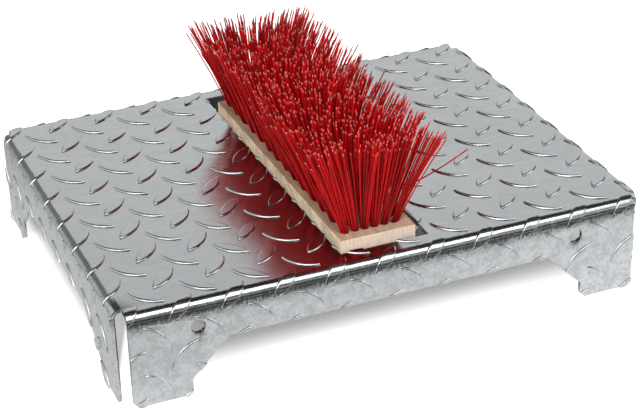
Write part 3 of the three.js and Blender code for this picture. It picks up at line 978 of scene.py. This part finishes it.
class BOOTSCRAPER_OT_block(bpy.types.Operator):
    """Shapes the wooden block and drills it for its tufts"""

    bl_idname = "bootscraper.block"
    bl_label = "Build wooden block"

    def execute(self, context):
        brush = context.scene.scraper_brush
        low, high = BLOCK_LOW.copy(), Vector((BLOCK_HIGH.x, BLOCK_HIGH.y, BLOCK_TOP))
        values = {
            **tuft_values(brush, -1.0, 1.0), "Hole radius": brush.tuft_radius + brush.hole_room,
            "Material": wood_material(brush.wood, low, high),
        }
        tree = new_tree("Drill block", drill_block, values)
        block = grown("wooden_block", tree, values, block_mesh(low, high, brush.corner))
        shade(block.data, 40)
        block.visible_glossy = False
        settle(block, "beech_wood", "brush_block")
        return {"FINISHED"}


class BOOTSCRAPER_OT_bristles(bpy.types.Operator):
    """Plants the bristles, one piece for each quarter of the block"""

    bl_idname = "bootscraper.bristles"
    bl_label = "Build bristles"

    def execute(self, context):
        brush = context.scene.scraper_brush
        middle = field_middle(brush).y
        strand = new_object("strand", strand_mesh(brush))
        keys = (
            "tuft_radius", "strands", "height", "uneven", "lean_side", "lean_end", "twist", "splay", "wander",
        )
        shared = {
            **named(brush, *keys), "Drift": Vector((brush.drift_right, brush.drift_back, 0.0)),
            "Half field width": (brush.columns - 1) * brush.column_pitch / 2,
            "Half field length": (brush.half_rows - 1) * brush.row_pitch / 2,
            "Strand": strand, "Material": bristle_material(brush.red, brush.cut_red),
        }
        tree = None
        for number in range(1, 5):
            node = f"bristles_{number}"
            first, last = self.slice_ends(node)
            values = {**tuft_values(brush, first - middle, last - middle), **shared, "Seed": 10 * number}
            tree = tree or new_tree("Grow bristles", grow_bristles, values)
            rows = grown(f"bristle_rows_{number}", tree, values)
            if number == 1:
                add_loose_bristle(rows.data, brush)
            settle(rows, "red_bristle", node)
        bpy.data.objects.remove(strand)
        return {"FINISHED"}

    @staticmethod
    def slice_ends(node):
        """Where a node's slice of the block starts and ends."""
        points = [vert.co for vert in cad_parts[node].data.vertices]
        ends = [point.y for point in points if abs(point.z - BLOCK_TOP) < MM / 10]
        return min(ends), max(ends)


# Fixing under the step

def rounded_line(corners, radius, steps):
    """A line through corners with each inner corner rounded."""
    line = [corners[0]]
    for before, corner, after in zip(corners, corners[1:], corners[2:]):
        back, ahead = (before - corner).normalized(), (after - corner).normalized()
        half = math.acos(max(-1.0, min(1.0, back.dot(ahead)))) / 2
        away = radius / math.tan(half)
        start, end = corner + back * away, corner + ahead * away
        line += [curved(start, corner, end, i / steps) for i in range(steps + 1)]
    line.append(corners[-1])
    return line


def line_normals(line):
    """Unit normals of a line in a plane, on its upper side."""
    ways = [after - before for before, after in zip([line[0], *line], [*line[1:], line[-1]])]
    return [Vector((-way.y, way.x)).normalized() for way in ways]


def strap_mesh(support, low, high):
    """A hat-shaped flat bar with rounded bends."""
    thickness, lap, run = support.strap_thickness, support.strap_lap, support.strap_run
    edge_break = 0.3 * MM
    top, bottom = high.z, low.z + thickness
    corners = [
        Vector((low.x, top)), Vector((low.x + lap, top)), Vector((low.x + lap + run, bottom)),
        Vector((high.x - lap - run, bottom)), Vector((high.x - lap, top)), Vector((high.x, top)),
    ]
    line = rounded_line(corners, support.strap_bend, 6)
    profile = line + [point - way * thickness for point, way in zip(line, line_normals(line))][::-1]
    made = bmesh.new()
    ends = [[made.verts.new((point.x, y, point.y)) for point in profile] for y in (low.y, high.y)]
    for ring in ends:
        for i in range(len(line) - 1):
            made.faces.new([ring[i], ring[i + 1], ring[-2 - i], ring[-1 - i]])
    walled(made, ends)
    bmesh.ops.recalc_face_normals(made, faces=made.faces)
    rounded(made, rims_of(made), edge_break, 2)
    return mesh_of("strap", made)


def weld_mesh(support, boxes):
    """Fillet beads with the ripples of a weld."""
    made = bmesh.new()
    steps, arc_steps = 60, 6
    end_size, end_growth, ripple_depth = 0.55, 0.3, 0.07
    for low, high, side in boxes:
        leg, run = high.x - low.x, high.y - low.y
        corner_x = low.x if side > 0 else high.x
        rings = []
        for i in range(steps + 1):
            y = low.y + run * i / steps
            from_end = min(i, steps - i) / steps * run
            taper = min(1.0, end_size + from_end / leg * end_growth)
            reach = leg * taper * (1 - ripple_depth * abs(math.sin(math.pi * y / support.weld_ripple)))
            ring = [made.verts.new((corner_x, y, high.z))]
            for k in range(arc_steps + 1):
                angle = QUARTER_TURN * k / arc_steps
                x = corner_x + side * reach * math.cos(angle)
                ring.append(made.verts.new((x, y, high.z - reach * math.sin(angle))))
            rings.append(ring)
        tube(made, rings)
    return mesh_of("welds", made)


def screw_mesh(support, low, high):
    """A pan-head wood screw that points up, about the middle of where its head bears."""
    head, seat = (high.x - low.x) / 2, support.head_height
    shank, thread_depth = 2.5 * MM, 0.7 * MM
    total = high.z - low.z - seat
    pan = ((0.45, 1.0), (0.7, 0.93), (0.88, 0.72), (0.98, 0.42), (1.0, 0.15), (0.99, 0.0))
    profile = [*((head * out, -seat * down) for out, down in pan), (shank, 0.0)]
    thread_turns, steps = 5, 4
    thread_start, thread_end = total * 0.3, total - 4 * MM
    for i in range(thread_turns * steps + 1):
        height = thread_start + (thread_end - thread_start) * i / (thread_turns * steps)
        depth = thread_depth / 2 * (1 - math.cos(FULL_TURN * i / steps))
        profile.append((shank - depth, height))
    profile.append((shank * 0.5, total - 2 * MM))
    made = bmesh.new()
    angles = turns(support.head_sides)
    rings = [[made.verts.new((r * math.cos(t), r * math.sin(t), z)) for t in angles] for r, z in profile]
    walled(made, rings)
    for ring, height in ((rings[0], -seat), (rings[-1], total)):
        pole = made.verts.new((0.0, 0.0, height))
        for a, b in zip(ring, ring[1:] + ring[:1]):
            made.faces.new([pole, a, b])
    return mesh_of("screw", made)


def cross_mesh(support):
    """The cross-shaped recess of a screw's head, as a solid for cutting."""
    made = bmesh.new()
    wide, narrow, taper = 2.6 * MM, 0.55 * MM, 0.55
    for half_x, half_y in ((wide, narrow), (narrow, wide)):
        for vert in bmesh.ops.create_cube(made, size=2.0)["verts"]:
            deep = vert.co.z > 0
            share = taper if deep else 1.0
            z = -support.head_height + (support.recess_depth if deep else -MM)
            vert.co = Vector((vert.co.x * half_x * share, vert.co.y * half_y * share, z))
    return mesh_of("cross", made)


def washer_mesh(support, low, high):
    """A flat washer with rounded rims, about the middle of its lower face."""
    outer, inner = (high.x - low.x) / 2, support.washer_hole
    thickness = high.z - low.z
    ease = 0.15 * MM
    sides = 40
    profile = [
        (inner, ease), (inner + ease, 0.0), (outer - ease * 2, 0.0), (outer, ease * 2),
        (outer, thickness - ease), (outer - ease, thickness), (inner + ease, thickness),
        (inner, thickness - ease),
    ]
    made = bmesh.new()
    rings = [
        [made.verts.new((r * math.cos(t), r * math.sin(t), z)) for r, z in profile] for t in turns(sides)
    ]
    walled(made, [*rings, rings[0]])
    return mesh_of("washer", made)


def place_fasteners(graph, inputs):
    """One fastener at each point, turned a different way, with its recess cut where there is one."""
    turned = graph.xyz(z=graph.chance(inputs["Seed"], 0.0, 6.28))
    fasteners, recesses = (
        graph.real(graph.repeated(inputs["Geometry"], graph.shape_of(inputs[name]), Rotation=turned))
        for name in ("Fastener", "Recess")
    )
    parts = {"Mesh 1": fasteners, "Mesh 2": recesses, "Self Intersection": True}
    return graph.joined("DIFFERENCE", parts, "EXACT")


class BOOTSCRAPER_OT_straps(bpy.types.Operator):
    """Bends the two flat bars that carry the block, and welds them to the step"""

    bl_idname = "bootscraper.straps"
    bl_label = "Build straps and welds"

    def execute(self, context):
        support = context.scene.scraper_support
        zinc = context.scene.scraper_plate.zinc
        steel = plain_metal(
            "galvanised_bar", 60.0, (0.3, 0.7), (toned(zinc, 0.72), toned(zinc, 0.92)),
            (0.32, 0.22), (0.25, 0.4 * MM), smeared=True,
        )
        weld = plain_metal(
            "weld_metal", 420.0, (0.35, 0.7), (toned(zinc, 0.5), toned(zinc, 0.85)),
            (0.38, 0.25), (0.35, 0.3 * MM),
        )
        for end in ("front", "rear"):
            bar = new_object(end + "_flat_bar", strap_mesh(support, *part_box(end + "_strap")))
            bar.data.materials.append(steel)
            shade(bar.data, 35)
            settle(bar, "galvanised_bar", end + "_strap")
        nodes = [f"{end}_{hand}_weld" for end in ("front", "rear") for hand in ("left", "right")]
        boxes = [(*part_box(node), -1 if "left" in node else 1) for node in nodes]
        beads = new_object("weld_beads", weld_mesh(support, boxes))
        beads.data.materials.append(weld)
        shade(beads.data, 50)
        settle(beads, "weld_metal", *nodes)
        return {"FINISHED"}


class BOOTSCRAPER_OT_fasteners(bpy.types.Operator):
    """Drives the wood screws and their washers"""

    bl_idname = "bootscraper.fasteners"
    bl_label = "Build screws and washers"

    def execute(self, context):
        support = context.scene.scraper_support
        tones = (rgba((0.62, 0.60, 0.53)), rgba((0.78, 0.76, 0.70)))
        plating = plain_metal("zinc_fastener", 260.0, (0.35, 0.65), tones, (0.2, 0.18), (0.12, 0.2 * MM))
        bare = bpy.data.meshes.new("none")
        kinds = (
            ("screw", "wood_screws", screw_mesh, support.head_height, cross_mesh(support), 3),
            ("washer", "flat_washers", washer_mesh, 0.0, bare, 5),
        )
        tree = None
        for kind, piece_name, shape_of, seat, cross, seed in kinds:
            nodes = [f"{end}_{hand}_{kind}" for end in ("front", "rear") for hand in ("left", "right")]
            boxes = [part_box(node) for node in nodes]
            spots = [((low.x + high.x) / 2, (low.y + high.y) / 2, low.z + seat) for low, high in boxes]
            points = bpy.data.meshes.new(piece_name)
            points.from_pydata(spots, [], [])
            fastener = new_object(kind, shape_of(support, *boxes[0]))
            recess = new_object("recess", cross)
            values = {"Fastener": fastener, "Recess": recess, "Seed": seed, "Material": plating}
            tree = tree or new_tree("Place fasteners", place_fasteners, values)
            piece = grown(piece_name, tree, values, points)
            for helper in (fastener, recess):
                bpy.data.objects.remove(helper)
            shade(piece.data, 38)
            settle(piece, "zinc_fastener", *nodes)
        return {"FINISHED"}


# Stage

def camera_matrix(stage):
    """Turn of the camera and its place, fitted to the photograph."""
    fitted_right = Vector((0.9229, -0.3840, -0.0268))
    ahead = Vector((0.3259, 0.8164, -0.4767)).normalized()
    up = fitted_right.cross(ahead).normalized()
    across = ahead.cross(up).normalized()
    turn = Matrix((across, up, -ahead)).transposed().to_4x4()
    return Matrix.Translation((stage.camera_x, stage.camera_y, stage.camera_z)) @ turn


def floor_material(plate):
    """White paper that shows white to the camera and to mirrored rays, with a painted shadow, grey to black,
    under the step.
    """
    material = bpy.data.materials.new("floor_paper")
    material.use_nodes = True
    graph = Graph(material.node_tree)
    coords = graph.make("ShaderNodeTexCoord", None, None, "Object")
    x, y, _ = graph.split(coords)
    half_width, half_depth = plate.width / 2, plate.depth / 2
    in_x, in_y = x + half_width, y + half_depth
    out = graph.larger(abs(x) - half_width, abs(y) - half_depth)

    # Shadow under the step, open where light falls through the gap at the near corner
    off_diagonal = abs(in_y - in_x * 2.5 + 3 * MM)
    through_gap = graph.fading(off_diagonal, 17 * MM, 27 * MM) * graph.fading(in_x, 50 * MM, 65 * MM)
    shadow = 1.0 - through_gap * 0.88
    for inward, start, full in (
        (in_x, 3, 17), (half_width - x, -30, -5), (in_y, 18, 62), (half_depth - y, -10, 20),
    ):
        shadow = shadow * graph.smooth(inward, start * MM, full * MM)
    deep = graph.fading(out, -95 * MM, -80 * MM)
    shown = 1.0 - shadow * (0.72 + deep * 0.26)

    # What the metal mirrors: paler to the right and close by, dark far ahead and under the step
    ahead = graph.smooth(-y, 0.255, 0.36)
    behind = graph.smooth(y, 0.10, 0.30)
    close_by = graph.fading(-y, 0.165, 0.215) * graph.smooth(-y, 0.148, 0.158)
    beside = graph.smooth(-x, 0.195, 0.215)
    far_right = graph.smooth(x, 0.28, 0.42) * graph.smooth(y, -0.12, -0.02)
    mirrored = 0.85 + x * 0.33 + close_by * 0.12 - beside * 0.10
    for darkened, share in ((far_right, 0.7), (ahead, 0.93), (behind, 0.2)):
        mirrored = mirrored * (1.0 - darkened * share)
    mirrored = mirrored * (0.05 + graph.smooth(out, -20 * MM, 0.0) * 0.95)

    rays = graph.node("ShaderNodeLightPath")
    camera_ray, glossy_ray, through_ray = (
        graph.get(rays, f"Is {kind} Ray") for kind in ("Camera", "Glossy", "Transmission")
    )
    seen = graph.larger(camera_ray, through_ray)
    paper = graph.make("ShaderNodeBsdfDiffuse", None, {"Color": (0.86, 0.86, 0.86, 1.0)})
    glow, mirror = (
        graph.make("ShaderNodeEmission", None, {"Color": WHITE, "Strength": strength})
        for strength in (shown * seen, mirrored)
    )
    lit_paper = graph.make("ShaderNodeAddShader", None, {0: paper, 1: glow})
    both = graph.make("ShaderNodeMixShader", None, {0: glossy_ray, 1: lit_paper, 2: mirror})
    graph.node("ShaderNodeOutputMaterial", None, {"Surface": both})
    return material


def studio_world():
    """Grey wall behind and to the left, dark above, pale low strips, and white straight to the camera."""
    world = bpy.data.worlds.new("studio")
    world.use_nodes = True
    graph = Graph(world.node_tree)
    right, back, height = graph.split(graph.make("ShaderNodeTexCoord", None, None, "Generated"))
    dark, wall_tone, left_tone, low_tone = 0.05, 0.72, 0.70, 0.55
    front = graph.fading(back, -0.05, 0.10)
    aside = graph.smooth(right, 0.42, 0.60)
    far_right = graph.smooth(right, 0.38, 0.47)

    wall = graph.smooth(back + aside * 0.15, 0.45, 0.70) * graph.fading(height - aside * 0.10, 0.56, 0.62)
    behind = wall * (0.25 + graph.smooth(right, -0.02, 0.12) * 0.75)
    left = graph.smooth(-right, 0.42, 0.52) * graph.fading(height, 0.75, 0.90)
    off_line = abs(back + 0.13 + (0.79 - height) * 0.60)
    bright_left = graph.smooth(-right, 0.555, 0.62) * front * graph.fading(height, 0.79, 0.88)
    bright_left = bright_left * graph.fading(off_line, 0.09, 0.15)
    bright_right = graph.smooth(right, 0.75, 0.90) * front * graph.fading(height, 0.35, 0.50)
    low_front = graph.smooth(right, 0.10, 0.25) * graph.fading(height - far_right * 0.22, 0.12, 0.48)
    low_front = front * low_front * (low_tone + far_right * 0.15)
    level = dark + graph.larger(behind * wall_tone, left * left_tone) + bright_left * 0.9 + bright_right * 1.5
    level = graph.larger(level, low_front)

    to_camera = graph.make("ShaderNodeLightPath", None, None, "Is Camera Ray")
    strength = to_camera + (1.0 - to_camera) * level
    background = graph.make("ShaderNodeBackground", None, {"Color": WHITE, "Strength": strength})
    graph.node("ShaderNodeOutputWorld", None, {"Surface": background})
    return world


def softbox(name, low, high, mirrored=True):
    """A lamp that faces down, between two corners."""
    radiance, level = 2.8, 1.2
    lamp = bpy.data.lights.new(name, "AREA")
    lamp.shape = "RECTANGLE"
    lamp.size, lamp.size_y = high[0] - low[0], high[1] - low[1]
    lamp.energy = radiance * math.pi * lamp.size * lamp.size_y
    made = new_object(name, lamp)
    made.location = ((low[0] + high[0]) / 2, (low[1] + high[1]) / 2, level)
    made.visible_glossy = mirrored


class BOOTSCRAPER_OT_stage(bpy.types.Operator):
    """Sets the camera, the pale floor and the soft studio light"""

    bl_idname = "bootscraper.stage"
    bl_label = "Set stage"

    def execute(self, context):
        stage = context.scene.scraper_stage
        camera = bpy.data.cameras.new("camera")
        camera.lens = stage.lens
        camera.sensor_fit = "HORIZONTAL"
        camera.sensor_width = 36.0
        camera.clip_end = 50.0
        holder = new_object("camera", camera)
        holder.matrix_world = camera_matrix(stage)
        context.scene.camera = holder
        half = stage.floor_size / 2
        corners = [(-half, -half, 0), (half, -half, 0), (half, half, 0), (-half, half, 0)]
        mesh = bpy.data.meshes.new("floor")
        mesh.from_pydata(corners, [], [(0, 1, 2, 3)])
        mesh.materials.append(floor_material(context.scene.scraper_plate))
        new_object("floor", mesh)
        softbox("front_softbox", (-0.45, -1.55), (0.95, -0.48))
        softbox("left_softbox", (-1.9, -1.75), (-0.45, -0.85))
        softbox("side_fill", (-1.9, -0.85), (-0.45, -0.48), mirrored=False)
        context.scene.world = studio_world()
        context.scene.view_settings.view_transform = "Standard"
        return {"FINISHED"}


class BOOTSCRAPER_PT_panel(bpy.types.Panel):
    """Builds the boot scraper piece by piece"""

    bl_idname = "BOOTSCRAPER_PT_panel"
    bl_label = "Boot Scraper"
    bl_space_type = "VIEW_3D"
    bl_region_type = "UI"
    bl_category = "Boot Scraper"

    def draw(self, context):
        for operator in OPERATORS:
            self.layout.operator(operator.bl_idname)
        for name in SETTINGS:
            group = getattr(context.scene, name)
            box = self.layout.box()
            for key in group.bl_rna.properties.keys():
                if key not in ("rna_type", "name"):
                    box.prop(group, key)


OPERATORS = (
    BOOTSCRAPER_OT_stage,
    BOOTSCRAPER_OT_plate,
    BOOTSCRAPER_OT_block,
    BOOTSCRAPER_OT_bristles,
    BOOTSCRAPER_OT_straps,
    BOOTSCRAPER_OT_fasteners,
)
SETTINGS = {
    "scraper_plate": PlateSettings,
    "scraper_brush": BrushSettings,
    "scraper_support": SupportSettings,
    "scraper_stage": StageSettings,
}


def register():
    for kind in (*SETTINGS.values(), *OPERATORS, BOOTSCRAPER_PT_panel):
        bpy.utils.register_class(kind)
    for name, group in SETTINGS.items():
        setattr(bpy.types.Scene, name, PointerProperty(type=group))


def unregister():
    for name in SETTINGS:
        delattr(bpy.types.Scene, name)
    for kind in reversed((*SETTINGS.values(), *OPERATORS, BOOTSCRAPER_PT_panel)):
        bpy.utils.unregister_class(kind)


def main():
    register()
    for operator in OPERATORS:
        getattr(bpy.ops.bootscraper, operator.bl_idname.split(".")[1])()


if __name__ == "__main__":
    main()
